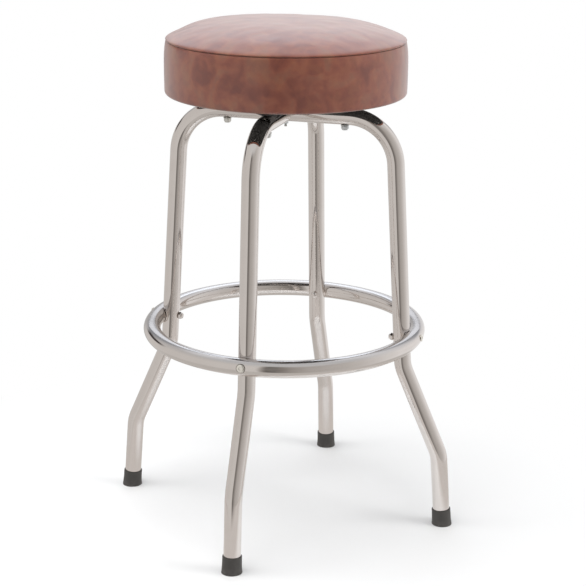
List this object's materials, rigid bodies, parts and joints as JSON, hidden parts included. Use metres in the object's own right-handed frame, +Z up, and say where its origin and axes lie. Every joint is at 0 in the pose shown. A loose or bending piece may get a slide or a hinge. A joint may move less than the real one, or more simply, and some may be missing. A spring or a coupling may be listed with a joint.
{
  "type": "counter stool",
  "caption": "Backless counter stool: crossed bent-tube chrome legs with a foot ring and a round padded seat that turns on a ball-bearing swivel.",
  "frame": {"origin": "on the floor under the middle of the seat", "axes": "+Z up; +X towards the right leg and +Y towards the back leg, so the front leg stands on -Y"},
  "size_m": [0.5374, 0.5374, 0.7561],
  "materials": {
    "chrome": "bright chrome plate on steel tube",
    "zinc": "zinc-plated steel",
    "black_steel": "black enamel on pressed steel",
    "rubber": "moulded black rubber",
    "plywood": "raw plywood",
    "foam": "open-cell foam",
    "dust_cloth": "black bonded cloth",
    "upholstery": "brown coated upholstery with a soft gloss"
  },
  "bodies": {
    "leg_frame": {"leg_tube_left_right": "chrome", "leg_tube_front_back": "chrome", "foot_ring": "chrome", "rubber_foot_right": "rubber", "rubber_foot_back": "rubber", "rubber_foot_left": "rubber", "rubber_foot_front": "rubber", "ring_bolt_right": "chrome", "ring_bolt_back": "chrome", "ring_bolt_left": "chrome", "ring_bolt_front": "chrome", "ring_cap_nut_right": "chrome", "ring_cap_nut_back": "chrome", "ring_cap_nut_left": "chrome", "ring_cap_nut_front": "chrome", "plate_bolt_right": "zinc", "plate_bolt_back": "zinc", "plate_bolt_left": "zinc", "plate_bolt_front": "zinc", "plate_washer_right": "zinc", "plate_washer_back": "zinc", "plate_washer_left": "zinc", "plate_washer_front": "zinc", "plate_lock_nut_right": "zinc", "plate_lock_nut_back": "zinc", "plate_lock_nut_left": "zinc", "plate_lock_nut_front": "zinc", "cross_bolt": "zinc", "cross_bolt_nut": "zinc", "swivel_lower_plate": "black_steel", "swivel_pivot": "zinc"},
    "ball_race": {"ball_cage": "zinc", "swivel_ball_01": "zinc", "swivel_ball_02": "zinc", "swivel_ball_03": "zinc", "swivel_ball_04": "zinc", "swivel_ball_05": "zinc", "swivel_ball_06": "zinc", "swivel_ball_07": "zinc", "swivel_ball_08": "zinc", "swivel_ball_09": "zinc", "swivel_ball_10": "zinc", "swivel_ball_11": "zinc", "swivel_ball_12": "zinc"},
    "seat": {"swivel_upper_plate": "black_steel", "seat_screw_right": "zinc", "seat_screw_back": "zinc", "seat_screw_left": "zinc", "seat_screw_front": "zinc", "tee_nut_right": "zinc", "tee_nut_back": "zinc", "tee_nut_left": "zinc", "tee_nut_front": "zinc", "seat_board": "plywood", "dust_cover": "dust_cloth", "seat_foam": "foam", "seat_side_band": "upholstery", "seat_top_panel": "upholstery"}
  },
  "joints": [
    {"name": "seat_swivel", "type": "hinge", "parent": "leg_frame", "child": "seat", "pos_m": [0, 0, 0.642], "axis": [0, 0, 1], "continuous": true},
    {"name": "ball_race_turn", "type": "hinge", "parent": "leg_frame", "child": "ball_race", "pos_m": [0, 0, 0.642], "axis": [0, 0, 1], "continuous": true}
  ],
  "couplings": [
    {"joint": "ball_race_turn", "follows": "seat_swivel", "ratio": 0.5}
  ]
}
